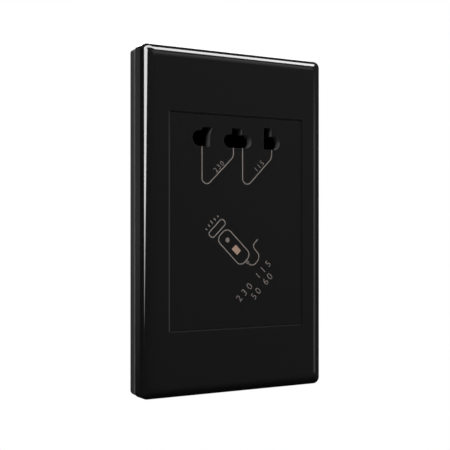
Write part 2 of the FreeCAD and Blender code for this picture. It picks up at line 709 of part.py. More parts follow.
def fixed_contact(side):
    """A brass strip on a switch tower, over the bridge's button and out to its lead or tag."""
    x0, x1 = sorted((side * FIXED_INNER_X, side * FIXED_TAG_X))
    return box(x0, x1, FIXED_Y, FIXED_Y + FIXED_T, PIN_Z - FIXED_HALF_Z, PIN_Z + FIXED_HALF_Z)


def terminal_tag(x, z, y0):
    """A brass tag from a terminal pillar through the housing's step."""
    return box(x - TAG_W / 2, x + TAG_W / 2, y0, PILLAR_Y0, z - TAG_T / 2, z + TAG_T / 2)


def terminal_xs():
    """The middles of the line, earth and neutral terminals."""
    return (-PILLAR_PITCH, 0.0, PILLAR_PITCH)


def terminal_block():
    """The insulating block in the step, with a pocket for each pillar and a wire entry on top."""
    half = STEP_HALF - BLOCK_FREE
    z0, z1 = STEP_Z + FLAT_GAP, HOUSING_TOP - BLOCK_FREE
    block = box(-half, half, STEP_Y + FLAT_GAP, HOUSING_BACK - BLOCK_FREE, z0, z1)
    cuts = [tag_hole(x, z, STEP_Y, PILLAR_Y0) for x, z in TAG_PLACES]
    pocket_half = PILLAR_W / 2 + FLAT_GAP
    y0, y1 = PILLAR_Y0 - FLAT_GAP, HOUSING_BACK + OVER
    for x in terminal_xs():
        cuts.append(box(x - pocket_half, x + pocket_half, y0, y1, PILLAR_Z0 - FLAT_GAP, PILLAR_Z1 + FLAT_GAP))
        cuts.append(rod_z(x, WIRE_Y, ENTRY_R, PILLAR_Z1, z1 + OVER))
    return drill(block, *cuts)


def terminal_pillar(x):
    """A brass pillar with an upright wire bore and a threaded hole for its clamp screw."""
    pillar = box(x - PILLAR_W / 2, x + PILLAR_W / 2, PILLAR_Y0, PILLAR_Y1, PILLAR_Z0, PILLAR_Z1)
    wire_bore = rod_z(x, WIRE_Y, WIRE_R, PILLAR_Z0 + WIRE_FLOOR, PILLAR_Z1 + OVER)
    middle_z = (PILLAR_Z0 + PILLAR_Z1) / 2
    return drill(pillar, wire_bore, rod_y(x, middle_z, CLAMP_HOLE_R, WIRE_Y, PILLAR_Y1 + OVER))


def terminal_screw(x):
    """The slotted clamp screw that presses a wire into a pillar's bore."""
    middle_z = (PILLAR_Z0 + PILLAR_Z1) / 2
    shank = rod_y(x, middle_z, CLAMP_R, CLAMP_TIP_Y, CLAMP_TOP_Y)
    z0, z1 = middle_z - DRIVE_SLOT_W / 2, middle_z + DRIVE_SLOT_W / 2
    return shank.cut(box(x - CLAMP_R, x + CLAMP_R, CLAMP_TOP_Y - DRIVE_SLOT_D, CLAMP_TOP_Y, z0, z1))


def core_e():
    """The stack of E laminations, open towards the bottom."""
    half_w, half_h = CORE_W / 2, CORE_H / 2
    yoke_z = CORE_Z - half_h + WINDOW
    stack = box(-half_w, half_w, CORE_Y0, CORE_Y1, yoke_z, CORE_Z + half_h)
    windows = []
    for side in (-1, 1):
        x0, x1 = sorted((side * LEG / 2, side * (LEG / 2 + WINDOW)))
        windows.append(box(x0, x1, CORE_Y0 - OVER, CORE_Y1 + OVER, yoke_z - OVER, CORE_Z + half_h - WINDOW))
    return drill(stack, *windows)


def core_i():
    """The stack of I laminations that closes the core at the bottom."""
    bottom = CORE_Z - CORE_H / 2
    return box(-CORE_W / 2, CORE_W / 2, CORE_Y0, CORE_Y1, bottom, bottom + WINDOW)


def rounded_post(half_x, y0, y1, r, z0, z1):
    """A block about the core's leg with its upright edges rounded."""
    block = box(-half_x, half_x, y0, y1, z0, z1)
    upright = [e for e in block.Edges if abs(e.tangentAt(e.FirstParameter).z) > 0.99]
    return block.makeFillet(r, upright)


def bobbin():
    """The moulded two-section bobbin on the core's middle leg."""
    tube = rounded_post(TUBE_HALF_X, TUBE_Y0, TUBE_Y1, TUBE_R, COIL_BOTTOM, COIL_TOP)
    flanges = []
    for z in (COIL_BOTTOM, CORE_Z - FLANGE / 2, COIL_TOP - FLANGE):
        flanges.append(box(-COIL_HALF_X, COIL_HALF_X, COIL_Y0, COIL_Y1, z, z + FLANGE))
    half_x, y0, y1 = LEG_HOLE
    return join(tube, *flanges).cut(box(-half_x, half_x, y0, y1, COIL_BOTTOM - OVER, COIL_TOP + OVER))


def winding_span(upper):
    """The lower and upper end of one half of the bobbin's winding space."""
    if upper:
        return CORE_Z + FLANGE / 2 + WINDING_GAP, COIL_TOP - FLANGE - WINDING_GAP
    return COIL_BOTTOM + FLANGE + WINDING_GAP, CORE_Z - FLANGE / 2 - WINDING_GAP


def winding(upper):
    """A copper winding wound flat on the bobbin's tube."""
    skin = TAPE + WINDING_GAP
    z0, z1 = winding_span(upper)
    coil = rounded_post(COIL_HALF_X - skin, COIL_Y0 + skin, COIL_Y1 - skin, COIL_R - skin, z0, z1)
    half_x = TUBE_HALF_X + WINDING_GAP
    return coil.cut(box(-half_x, half_x, TUBE_Y0 - WINDING_GAP, TUBE_Y1 + WINDING_GAP, z0 - OVER, z1 + OVER))


def winding_tape(upper):
    """A turn of polyester tape round a winding."""
    z0, z1 = winding_span(upper)
    inset, skin = TAPE_INSET, TAPE + WINDING_GAP / 2
    outer = rounded_post(COIL_HALF_X - inset, COIL_Y0 + inset, COIL_Y1 - inset, COIL_R, z0, z1)
    inner_r, below, above = COIL_R - skin, z0 - OVER, z1 + OVER
    inner = rounded_post(COIL_HALF_X - skin, COIL_Y0 + skin, COIL_Y1 - skin, inner_r, below, above)
    return outer.cut(inner)


def bobbin_pin(x, y, z0):
    """A square soldering pin on one of the bobbin's end flanges."""
    return box(x - PIN_HALF, x + PIN_HALF, y - PIN_HALF, y + PIN_HALF, z0, z0 + PIN_L)


def bobbin_pins():
    """Three pins of the secondary on top and two of the primary below."""
    pins = [bobbin_pin(x, PIN_ROW_Y, COIL_TOP) for x in (-SECONDARY_PIN_X, COMMON_X, SECONDARY_PIN_X)]
    for x in (-PRIMARY_PIN_X, PRIMARY_PIN_X):
        pins.append(bobbin_pin(x, PRIMARY_PIN_Y, COIL_BOTTOM - PIN_L))
    return pins


def core_strap():
    """The steel strap bent round the back and sides of the core, over the I laminations' end."""
    z0 = CORE_Z - CORE_H / 2
    z1 = z0 + STRAP_W
    half, back = CORE_W / 2, CORE_Y1 + STRAP_T
    strap = box(-half - STRAP_T, half + STRAP_T, CORE_Y0, back, z0, z1)
    return strap.cut(box(-half, half, CORE_Y0 - OVER, CORE_Y1, z0 - OVER, z1 + OVER))


def thermal_cutout():
    """The self-resetting thermal cut-out that lies on the primary winding."""
    y0 = CUTOUT_Y1 - CUTOUT_D
    z0, z1 = CUTOUT_Z - CUTOUT_H / 2, CUTOUT_Z + CUTOUT_H / 2
    body = box(-CUTOUT_W / 2, CUTOUT_W / 2, y0, CUTOUT_Y1, z0, z1)
    lengthwise = [e for e in body.Edges if abs(e.tangentAt(e.FirstParameter).x) > 0.99]
    return body.makeFillet(CUTOUT_R, lengthwise)


def lead(points):
    """An insulated lead along straight runs with a rounded bend at each square corner."""
    path = [V(*p) for p in points]
    section = wire_section(path[0], (path[1] - path[0]).normalize(), LEAD_R, LEAD_SIDES)
    runs = []
    start = path[0]
    for before, corner, after in zip(path, path[1:], path[2:]):
        into = (corner - before).normalize()
        out = (after - corner).normalize()
        entry = corner - into * BEND_R
        leave = corner + out * BEND_R
        middle = corner + (out - into) * (BEND_R * (1 - math.sqrt(0.5)))
        runs.append(Part.LineSegment(start, entry).toShape())
        runs.append(Part.Arc(entry, middle, leave).toShape())
        start = leave
    runs.append(Part.LineSegment(start, path[-1]).toShape())
    return Part.Wire(runs).makePipeShell([section], True, False)


def secondary_lead(tail_x, pin_x):
    """A lead from a contact's tail to its soldering pin, passing inside the housing's columns."""
    points = [(tail_x, RUN_Y, TAIL_Z - STRIP / 2 - FLAT_GAP)]
    if tail_x != pin_x:
        points += [(tail_x, RUN_Y, RUN_Z), (pin_x, RUN_Y, RUN_Z)]
    points += [(pin_x, RUN_Y, SECONDARY_Z), (pin_x, PIN_ROW_Y, SECONDARY_Z)]
    return lead(points + [(pin_x, PIN_ROW_Y, COIL_TOP + PIN_L + FLAT_GAP)])


def lead_load():
    """The lead from the switch's load contact to the thermal cut-out."""
    x, y = FIXED_TAG_X - LOAD_INSET, FIXED_Y - LEAD_R - FLAT_GAP
    route = [(x, y, PIN_Z), (x, y, PRIMARY_Z), (x, CUTOUT_Y, PRIMARY_Z), (x, CUTOUT_Y, CUTOUT_Z)]
    return lead(route + [(CUTOUT_W / 2 + FLAT_GAP, CUTOUT_Y, CUTOUT_Z)])


def lead_cutout():
    """The lead from the thermal cut-out to the first primary pin."""
    x = -PRIMARY_PIN_X
    start = (-CUTOUT_W / 2 - FLAT_GAP, CUTOUT_Y, CUTOUT_Z)
    down = [(x, CUTOUT_Y, CUTOUT_Z), (x, CUTOUT_Y, PRIMARY_PIN_Z)]
    return lead([start] + down + [(x, PRIMARY_PIN_FACE, PRIMARY_PIN_Z)])


def lead_neutral():
    """The lead from the neutral terminal's tag to the second primary pin."""
    x, y = PILLAR_PITCH - NEUTRAL_INSET, STEP_Y - HOUSING_WALL - LEAD_R - LEAD_FREE
    front = CUTOUT_Y - NEUTRAL_FRONT
    start = (x, y, NEUTRAL_TAG_Z - TAG_T / 2 - FLAT_GAP)
    down = [(x, y, PRIMARY_Z), (x, front, PRIMARY_Z), (x, front, PRIMARY_PIN_Z)]
    end = [(PRIMARY_PIN_X, front, PRIMARY_PIN_Z), (PRIMARY_PIN_X, PRIMARY_PIN_FACE, PRIMARY_PIN_Z)]
    return lead([start] + down + end)


os.makedirs("parts", exist_ok=True)
save("cover_frame", cover_frame())
save("mounting_frame", mounting_frame())
save("socket_panel", socket_panel())
save("rear_housing", rear_housing())
save("housing_screws", *housing_screws())
save("contact_carrier", contact_carrier())
save("carrier_screws", *carrier_screws())
save("contact_230", pin_contact(LOBE_230_X, LOBE_230_Z, LEAF_230_HALF, SIDE_230_X + FINGER_FREE, 1))
save("contact_common", contact_common())
save("contact_115", pin_contact(LOBE_115_X, LOBE_115_Z, LEAF_115_HALF, SLOT_115_X - FINGER_FREE, -1))
save("switch_plunger", switch_plunger())
save("switch_spring", switch_spring())
save("bridge_contact", bridge_contact())
line_tag = terminal_tag(-PILLAR_PITCH, LINE_TAG_Z, FIXED_Y + FIXED_T)
save("fixed_contact_line", join(fixed_contact(-1), line_tag))
save("fixed_contact_load", fixed_contact(1))
save("neutral_tag", terminal_tag(PILLAR_PITCH, NEUTRAL_TAG_Z, STEP_Y - HOUSING_WALL - TAG_IN))
save("terminal_block", terminal_block())
save("terminal_pillars", *[terminal_pillar(x) for x in terminal_xs()])
save("terminal_screws", *[terminal_screw(x) for x in terminal_xs()])
save("core_e", core_e())
save("core_i", core_i())
save("core_strap", core_strap())
save("bobbin", bobbin())
save("primary_winding", winding(False))
save("secondary_winding", winding(True))
save("winding_tapes", winding_tape(False), winding_tape(True))
save("bobbin_pins", *bobbin_pins())
save("thermal_cutout", thermal_cutout())
save("lead_load", lead_load())
save("lead_cutout", lead_cutout())
save("lead_neutral", lead_neutral())
save("lead_230", secondary_lead(LOBE_230_X, -SECONDARY_PIN_X))
save("lead_common", secondary_lead(COMMON_X, COMMON_X))
save("lead_115", secondary_lead(LOBE_115_X, SECONDARY_PIN_X))
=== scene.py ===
import bpy
import math
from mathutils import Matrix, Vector


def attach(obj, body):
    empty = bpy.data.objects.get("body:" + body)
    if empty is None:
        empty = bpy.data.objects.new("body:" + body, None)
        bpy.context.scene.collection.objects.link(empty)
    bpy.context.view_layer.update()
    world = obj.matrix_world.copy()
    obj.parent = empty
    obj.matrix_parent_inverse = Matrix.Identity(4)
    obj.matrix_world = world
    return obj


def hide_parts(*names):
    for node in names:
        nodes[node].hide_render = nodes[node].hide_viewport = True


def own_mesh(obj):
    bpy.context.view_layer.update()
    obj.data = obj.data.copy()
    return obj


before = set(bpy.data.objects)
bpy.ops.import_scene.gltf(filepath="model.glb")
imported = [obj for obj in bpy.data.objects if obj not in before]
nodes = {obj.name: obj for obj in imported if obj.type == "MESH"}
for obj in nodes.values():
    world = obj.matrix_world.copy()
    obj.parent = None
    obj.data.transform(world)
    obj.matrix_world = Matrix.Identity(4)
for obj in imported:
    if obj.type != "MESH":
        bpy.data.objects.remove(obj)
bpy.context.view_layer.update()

# Transformer core: a stack of E and I laminations, half a millimetre each, punched from silicon steel.
# The stack is dipped in varnish, and the cut edges show as fine lines across its faces.


def start_material(name, colour, roughness, metallic=0.0, ior=1.5):
    """A material with its Principled shader, and the place of each point in millimetres."""
    material = bpy.data.materials.new(name)
    material.use_nodes = True
    tree = material.node_tree
    shader = tree.nodes["Principled BSDF"]
    shader.inputs["Base Color"].default_value = (*colour, 1.0)
    shader.inputs["Roughness"].default_value = roughness
    shader.inputs["Metallic"].default_value = metallic
    shader.inputs["IOR"].default_value = ior
    place = tree.nodes.new("ShaderNodeTexCoord")
    in_mm = tree.nodes.new("ShaderNodeVectorMath")
    in_mm.operation = "SCALE"
    in_mm.inputs["Scale"].default_value = 1000.0
    tree.links.new(place.outputs["Object"], in_mm.inputs[0])
    return material, tree, shader, in_mm.outputs["Vector"]


def mix_colours(tree, factor, low, high):
    """A colour between two, by a factor from another node."""
    blend = tree.nodes.new("ShaderNodeMix")
    blend.data_type = "RGBA"
    tree.links.new(factor, blend.inputs["Factor"])
    blend.inputs["A"].default_value = (*low, 1.0)
    blend.inputs["B"].default_value = (*high, 1.0)
    return blend.outputs["Result"]


def add_bump(tree, shader, height, strength, distance):
    """Relief from a height, a distance in metres deep."""
    bump = tree.nodes.new("ShaderNodeBump")
    bump.inputs["Strength"].default_value = strength
    bump.inputs["Distance"].default_value = distance
    tree.links.new(height, bump.inputs["Height"])
    tree.links.new(bump.outputs["Normal"], shader.inputs["Normal"])


def dress(material, slot, *names):
    """Gives CAD pieces their finished material."""
    for name in names:
        mesh = nodes[name].data
        mesh.materials.clear()
        mesh.materials.append(material)


def stripes(tree, place, axis, per_mm, distortion=0.0):
    """Fine lines square to an axis, so many to a millimetre."""
    wave = tree.nodes.new("ShaderNodeTexWave")
    wave.bands_direction = axis
    wave.inputs["Scale"].default_value = per_mm * math.pi / 10
    wave.inputs["Distortion"].default_value = distortion
    tree.links.new(place, wave.inputs["Vector"])
    return wave.outputs["Fac"]


lamination, tree, shader, place = start_material("varnished_lamination", (0.16, 0.16, 0.17), 0.42, 0.85)
edges = stripes(tree, place, "Y", 2.0, 0.6)
tree.links.new(mix_colours(tree, edges, (0.07, 0.065, 0.06), (0.26, 0.26, 0.27)), shader.inputs["Base Color"])
add_bump(tree, shader, edges, 0.5, 0.00006)
dress(lamination, "core_steel", "core_e", "core_i")

# Core strap and screws: zinc-plated steel, pressed or cold-headed, then passivated to a pale silver.
# The strap is bent round the core; the screws pull the housing and the carrier on to the panel.


def metal_tarnish():
    """Cloudy tone and fine drawn lines that bare or plated metal shows."""
    group = bpy.data.node_groups.new("metal_tarnish", "ShaderNodeTree")
    face = group.interface
    for name, kind, value in (("Place", "NodeSocketVector", None), ("Cloud size", "NodeSocketFloat", 0.4)):
        socket = face.new_socket(name, in_out="INPUT", socket_type=kind)
        if value is not None:
            socket.default_value = value
    face.new_socket("Cloud", in_out="OUTPUT", socket_type="NodeSocketFloat")
    face.new_socket("Lines", in_out="OUTPUT", socket_type="NodeSocketFloat")
    start = group.nodes.new("NodeGroupInput")
    end = group.nodes.new("NodeGroupOutput")
    cloud = group.nodes.new("ShaderNodeTexNoise")
    cloud.inputs["Detail"].default_value = 4.0
    group.links.new(start.outputs["Place"], cloud.inputs["Vector"])
    group.links.new(start.outputs["Cloud size"], cloud.inputs["Scale"])
    stretch = group.nodes.new("ShaderNodeVectorMath")
    stretch.operation = "MULTIPLY"
    stretch.inputs[1].default_value = (0.4, 9.0, 9.0)
    group.links.new(start.outputs["Place"], stretch.inputs[0])
    lines = group.nodes.new("ShaderNodeTexNoise")
    lines.inputs["Scale"].default_value = 1.5
    lines.inputs["Detail"].default_value = 2.0
    group.links.new(stretch.outputs["Vector"], lines.inputs["Vector"])
    group.links.new(cloud.outputs["Fac"], end.inputs["Cloud"])
    group.links.new(lines.outputs["Fac"], end.inputs["Lines"])
    return group


tarnish = metal_tarnish()


def metal(name, dark, light, roughness, cloud_size):
    """A metal whose tone drifts and which carries fine drawn lines."""
    material, tree, shader, place = start_material(name, light, roughness, 1.0)
    use = tree.nodes.new("ShaderNodeGroup")
    use.node_tree = tarnish
    use.inputs["Cloud size"].default_value = cloud_size
    tree.links.new(place, use.inputs["Place"])
    tree.links.new(mix_colours(tree, use.outputs["Cloud"], dark, light), shader.inputs["Base Color"])
    spread = tree.nodes.new("ShaderNodeMapRange")
    spread.inputs["To Min"].default_value = roughness * 0.7
    spread.inputs["To Max"].default_value = roughness * 1.4
    tree.links.new(use.outputs["Lines"], spread.inputs["Value"])
    tree.links.new(spread.outputs["Result"], shader.inputs["Roughness"])
    add_bump(tree, shader, use.outputs["Lines"], 0.2, 0.00002)
    return material


zinc = metal("zinc_plate", (0.42, 0.43, 0.45), (0.66, 0.67, 0.68), 0.32, 0.3)
dress(zinc, "strap_steel", "core_strap")
dress(zinc, "screw_steel", "housing_screws", "carrier_screws", "terminal_screws")

# Bobbin: a two-section former injection moulded in natural glass-filled nylon, pushed on the core's middle leg.
# The glass shows as a faint mottle, and its tinned pins stand on the end flanges.


def moulded_skin():
    """The mottle, the orange peel and the fine grain that a moulded plastic has."""
    group = bpy.data.node_groups.new("moulded_skin", "ShaderNodeTree")
    face = group.interface
    face.new_socket("Place", in_out="INPUT", socket_type="NodeSocketVector")
    for name, value in (("Mottle size", 0.3), ("Peel size", 0.6), ("Grain size", 6.0)):
        face.new_socket(name, in_out="INPUT", socket_type="NodeSocketFloat").default_value = value
    for name in ("Mottle", "Peel", "Grain"):
        face.new_socket(name, in_out="OUTPUT", socket_type="NodeSocketFloat")
    start = group.nodes.new("NodeGroupInput")
    end = group.nodes.new("NodeGroupOutput")
    for name, detail in (("Mottle", 3.0), ("Peel", 1.0), ("Grain", 4.0)):
        noise = group.nodes.new("ShaderNodeTexNoise")
        noise.inputs["Detail"].default_value = detail
        group.links.new(start.outputs["Place"], noise.inputs["Vector"])
        group.links.new(start.outputs[name + " size"], noise.inputs["Scale"])
        group.links.new(noise.outputs["Fac"], end.inputs[name])
    return group


skin = moulded_skin()


def moulded(name, dark, light, roughness, peel, peel_size=0.6, grain=0.0, ior=1.5):
    """A moulded plastic: two near tones, a roughness that drifts, and a relief in metres."""
    material, tree, shader, place = start_material(name, light, roughness[0], 0.0, ior)
    use = tree.nodes.new("ShaderNodeGroup")
    use.node_tree = skin
    use.inputs["Peel size"].default_value = peel_size
    tree.links.new(place, use.inputs["Place"])
    tree.links.new(mix_colours(tree, use.outputs["Mottle"], dark, light), shader.inputs["Base Color"])
    spread = tree.nodes.new("ShaderNodeMapRange")
    spread.inputs["To Min"].default_value = roughness[0]
    spread.inputs["To Max"].default_value = roughness[1]
    tree.links.new(use.outputs["Grain"], spread.inputs["Value"])
    tree.links.new(spread.outputs["Result"], shader.inputs["Roughness"])
    height = use.outputs["Peel"]
    if grain:
        add = tree.nodes.new("ShaderNodeMath")
        add.operation = "MULTIPLY_ADD"
        add.inputs[1].default_value = grain
        tree.links.new(use.outputs["Grain"], add.inputs[0])
        tree.links.new(use.outputs["Peel"], add.inputs[2])
        height = add.outputs["Value"]
    add_bump(tree, shader, height, 1.0, peel)
    return material


natural_nylon = moulded("natural_nylon", (0.60, 0.57, 0.48), (0.72, 0.69, 0.60), (0.35, 0.55), 0.000004)
dress(natural_nylon, "bobbin_plastic", "bobbin")
tinned = metal("tinned_pin", (0.50, 0.50, 0.50), (0.72, 0.72, 0.71), 0.28, 0.8)
dress(tinned, "screw_steel", "bobbin_pins")

# Windings: enamelled copper wire laid in close layers, the primary below and the secondary above.
# Each turn shows as a fine ridge under the clear enamel, with painted shade darkening the colour between the turns.
enamelled, tree, shader, place = start_material("enamelled_copper", (0.55, 0.22, 0.08), 0.3, 0.9)
ridges_and_painted_shade = stripes(tree, place, "Z", 4.0, 0.3)
# Painted shade: the colour darkens in the valleys between the turns, following the ridges.
tree.links.new(mix_colours(tree, ridges_and_painted_shade, (0.20, 0.06, 0.02), (0.62, 0.27, 0.11)), shader.inputs["Base Color"])
add_bump(tree, shader, ridges_and_painted_shade, 0.8, 0.00008)
shader.inputs["Coat Weight"].default_value = 0.4
dress(enamelled, "winding_copper", "primary_winding", "secondary_winding")

# Winding tapes: a turn of yellow polyester film with a thin adhesive on its back.
# It is wrapped tight over each winding, and the overlap leaves slight wrinkles.
film, tree, shader, place = start_material("polyester_film", (0.72, 0.50, 0.06), 0.22)
wrinkle = tree.nodes.new("ShaderNodeTexNoise")
wrinkle.inputs["Scale"].default_value = 0.5
wrinkle.inputs["Detail"].default_value = 3.0
tree.links.new(place, wrinkle.inputs["Vector"])
tone = mix_colours(tree, wrinkle.outputs["Fac"], (0.60, 0.38, 0.03), (0.80, 0.58, 0.10))
tree.links.new(tone, shader.inputs["Base Color"])
add_bump(tree, shader, wrinkle.outputs["Fac"], 0.6, 0.00015)
dress(film, "tape_film", "winding_tapes")

# Thermal cut-out: a small case moulded in brown phenolic, with a snap disc inside.
# It lies on the primary and opens the circuit when the winding runs hot.
phenolic = moulded("phenolic_case", (0.20, 0.10, 0.05), (0.30, 0.16, 0.08), (0.3, 0.5), 0.000006)
dress(phenolic, "cutout_case", "thermal_cutout")

# Inner leads: soft vinyl drawn over stranded copper, crimped or soldered to the tags at both ends.
# Brown and blue run on the mains side, white on the shaver side.
vinyl_brown = moulded("vinyl_brown", (0.16, 0.06, 0.025), (0.21, 0.085, 0.04), (0.35, 0.5), 0.000005)
vinyl_blue = moulded("vinyl_blue", (0.03, 0.10, 0.36), (0.05, 0.15, 0.45), (0.35, 0.5), 0.000005)
vinyl_white = moulded("vinyl_white", (0.66, 0.65, 0.62), (0.76, 0.75, 0.72), (0.35, 0.5), 0.000005)
dress(vinyl_brown, "lead_brown", "lead_load", "lead_cutout")
dress(vinyl_blue, "lead_blue", "lead_neutral")
dress(vinyl_white, "lead_white", "lead_230", "lead_common", "lead_115")

# Contacts and terminals: half-hard brass strip, with solid brass pillars for the supply wires.
# The sliding bridge closes the primary circuit when a plug goes in; the folded plug contacts are brass painted near
# black, a painted shade for the depth behind the openings.
brass = metal("contact_brass", (0.56, 0.36, 0.13), (0.80, 0.58, 0.26), 0.3, 0.5)
dress(brass, "contact_brass", "bridge_contact", "fixed_contact_line", "fixed_contact_load")
dress(brass, "contact_brass", "neutral_tag", "terminal_pillars")
# Painted shade: the plug contacts get a near-black colour so that the openings read dark inside.
shade_painted_contacts = metal("contacts_painted_dark", (0.020, 0.014, 0.009), (0.045, 0.032, 0.018), 0.5, 0.5)
dress(shade_painted_contacts, "contact_brass", "contact_230", "contact_common", "contact_115")

# Return spring: hard-drawn music wire, wound in four open turns with a closed one at each end.
# It stands on the carrier behind the plunger and shortens as a plug pushes the plunger in.
mm = 0.001
coil_x, coil_z, coil_r, wire_r = -0.2, 34.5, 2.05, 0.2
coil_front, coil_back, turns, sides = 3.06, 8.43, 6, 10
closed_pitch = 2.05 * wire_r
wire = metal("music_wire", (0.30, 0.30, 0.31), (0.52, 0.52, 0.53), 0.25, 1.0)
first, last = coil_front + wire_r, coil_back - wire_r
open_length = last - first - 2 * closed_pitch
points, faces, steps = [], [], 36 * turns
for k in range(steps + 1):
    turn = turns * k / steps
    open_part = min(max(turn - 1, 0), turns - 2) / (turns - 2)
    closed_turns = min(turn, 1) + max(turn - turns + 1, 0)
    y = first + closed_pitch * closed_turns + open_length * open_part
    out = Vector((math.cos(math.tau * turn), 0, math.sin(math.tau * turn)))
    for j in range(sides):
        around = math.tau * j / sides
        spot = Vector((coil_x, y, coil_z)) + out * (coil_r + wire_r * math.cos(around))
        points.append((spot + Vector((0, wire_r * math.sin(around), 0))) * mm)
for k in range(steps):
    for j in range(sides):
        n = (j + 1) % sides
        faces.append((k * sides + j, k * sides + n, (k + 1) * sides + n, (k + 1) * sides + j))
faces += [tuple(reversed(range(sides))), tuple(range(steps * sides, (steps + 1) * sides))]
coil_mesh = bpy.data.meshes.new("return_spring")
coil_mesh.from_pydata(points, [], faces)
coil_mesh.validate()


def place_piece(mesh, material, angle=30):
    """A finished mesh piece of the fixed unit: smooth where it bends gently, crisp at its corners."""
    mesh.materials.clear()
    mesh.materials.append(material)
    mesh.polygons.foreach_set("use_smooth", [True] * len(mesh.polygons))
    mesh.set_sharp_from_angle(angle=math.radians(angle))
    piece = bpy.data.objects.new(mesh.name, mesh)
    bpy.context.scene.collection.objects.link(piece)
    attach(piece, "unit")
    return piece


coil = place_piece(coil_mesh, wire, 60)
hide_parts("switch_spring")
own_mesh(coil)

# Plunger, contact carrier and terminal block: mouldings that keep the live parts apart.
# The plunger is dark grey acetal; the carrier and the block are black thermoset with a matt skin.
acetal = moulded("grey_acetal", (0.015, 0.015, 0.016), (0.022, 0.022, 0.023), (0.45, 0.55), 0.000003)
dress(acetal, "plunger_plastic", "switch_plunger")
thermoset = moulded("black_thermoset", (0.003, 0.003, 0.003), (0.005, 0.005, 0.005), (0.6, 0.8), 0.000008, grain=0.5)
thermoset.node_tree.nodes["Principled BSDF"].inputs["Specular IOR Level"].default_value = 0.2
dress(thermoset, "carrier_plastic", "contact_carrier")
dress(thermoset, "block_plastic", "terminal_block")

# Rear housing: the box that goes into the wall, moulded in black polycarbonate with a spark-eroded skin.
# Four screws in its columns pull it on to the panel.
spark_skin = moulded(
    "spark_eroded_black", (0.012, 0.012, 0.013), (0.020, 0.020, 0.021), (0.42, 0.62), 0.00002, 1.2, grain=1.6
)
dress(spark_skin, "housing_plastic", "rear_housing")

# Mounting frame: the rim that shows behind the cover and the web that is screwed to the wall box.
# Moulded in the same black plastic with a satin skin, so it looks a little greyer than the cover.
# A paler band is painted along its front edge, a painted highlight for the light that edge catches.
band_back, band_front = -4.6, -4.9
satin = moulded("satin_black", (0.044, 0.044, 0.044), (0.054, 0.054, 0.054), (0.28, 0.36), 0.000003, 0.8, grain=0.4)
tree = satin.node_tree
shader = tree.nodes["Principled BSDF"]
split = tree.nodes.new("ShaderNodeSeparateXYZ")
tree.links.new(tree.nodes["Vector Math"].outputs["Vector"], split.inputs["Vector"])
# Painted highlight: a band along the rim's front edge is painted a paler grey.
painted_highlight_band = tree.nodes.new("ShaderNodeMapRange")
painted_highlight_band.inputs["From Min"].default_value = band_back
painted_highlight_band.inputs["From Max"].default_value = band_front
tree.links.new(split.outputs["Y"], painted_highlight_band.inputs["Value"])
edge = tree.nodes.new("ShaderNodeMix")
edge.data_type = "RGBA"
tree.links.new(painted_highlight_band.outputs["Result"], edge.inputs["Factor"])
tree.links.new(shader.inputs["Base Color"].links[0].from_socket, edge.inputs["A"])
edge.inputs["B"].default_value = (0.20, 0.20, 0.20, 1.0)
tree.links.new(edge.outputs["Result"], shader.inputs["Base Color"])
dress(satin, "frame_plastic", "mounting_frame")

# Socket panel: moulded in polished black plastic, flush in the cover's window, with the openings for the pins.
# Its face is polished with the cover's, while the walls of the openings are matt and painted a paler grey, a painted
# reflection of the light they catch.
black_tones = (0.0121, 0.0121, 0.0122), (0.0137, 0.0136, 0.0136)
panel_black = moulded("polished_panel", *black_tones, (0.05, 0.08), 0.0000003, 0.35, ior=1.6)
tree = panel_black.node_tree
shader = tree.nodes["Principled BSDF"]
turned = tree.nodes.new("ShaderNodeNewGeometry")
split = tree.nodes.new("ShaderNodeSeparateXYZ")
tree.links.new(turned.outputs["True Normal"], split.inputs["Vector"])
faces_viewer = tree.nodes.new("ShaderNodeMath")
faces_viewer.operation = "ABSOLUTE"
tree.links.new(split.outputs["Y"], faces_viewer.inputs[0])
# The walls' paler grey is painted light; their higher roughness is a matt skin.
for socket, kind, opening in (("Base Color", "RGBA", (0.045, 0.045, 0.046, 1.0)), ("Roughness", "FLOAT", 0.6)):
    blend = tree.nodes.new("ShaderNodeMix")
    blend.data_type = kind
    ends = [plug for plug in blend.inputs if plug.enabled]
    tree.links.new(faces_viewer.outputs["Value"], ends[0])
    ends[1].default_value = opening
    tree.links.new(shader.inputs[socket].links[0].from_socket, ends[2])
    tree.links.new([plug for plug in blend.outputs if plug.enabled][0], shader.inputs[socket])
dress(panel_black, "panel_plastic", "socket_panel")

# Cover: a shallow tray moulded in polished black plastic, its front edge rolled over in a long soft round.
# It snaps over the mounting frame with hooks, and a shallow slope leads from its face down to the panel.
cover_w, cover_h = 86.0, 146.0
cover_front, cover_back = -16.2, -6.6
edge_depth, edge_width = 4.5, 5.2
lip_back, lip_t = -5.9, 0.09
back_corner_r, front_corner_r, corner_narrows = 1.9, 2.8, 0.33
wall, face_t = 2.2, 3.0
window_w, window_h = 63.4, 90.4
slope_w, slope_drop = 0.5, 0.15
collar_t, collar_end = 1.6, -7.0
gloss = moulded("polished_cover", *black_tones, (0.05, 0.08), 0.0000003, 0.35, ior=1.6)


def round_loop(width, height, r, y, steps):
    """The corners and arcs of a rounded rectangle, facing the viewer, in order."""
    loop = []
    for quarter, (sx, sz) in enumerate(((1, 1), (-1, 1), (-1, -1), (1, -1))):
        cx, cz = sx * (width / 2 - r), sz * (height / 2 - r)
        for k in range(steps + 1):
            turn = math.pi / 2 * (quarter + k / steps)
            loop.append((cx + r * math.cos(turn), y, cz + r * math.sin(turn)))
    return loop


def ring_mesh(name, loops):
    """A closed tube of faces through loops of equal length, the last joined to the first."""
    points = [tuple(c * mm for c in p) for loop in loops for p in loop]
    count = len(loops[0])
    faces = []
    for i in range(len(loops)):
        below, above = i * count, (i + 1) % len(loops) * count
        for k in range(count):
            n = (k + 1) % count
            faces.append((below + k, below + n, above + n, above + k))
    mesh = bpy.data.meshes.new(name)
    mesh.from_pydata(points, [], faces)
    return mesh


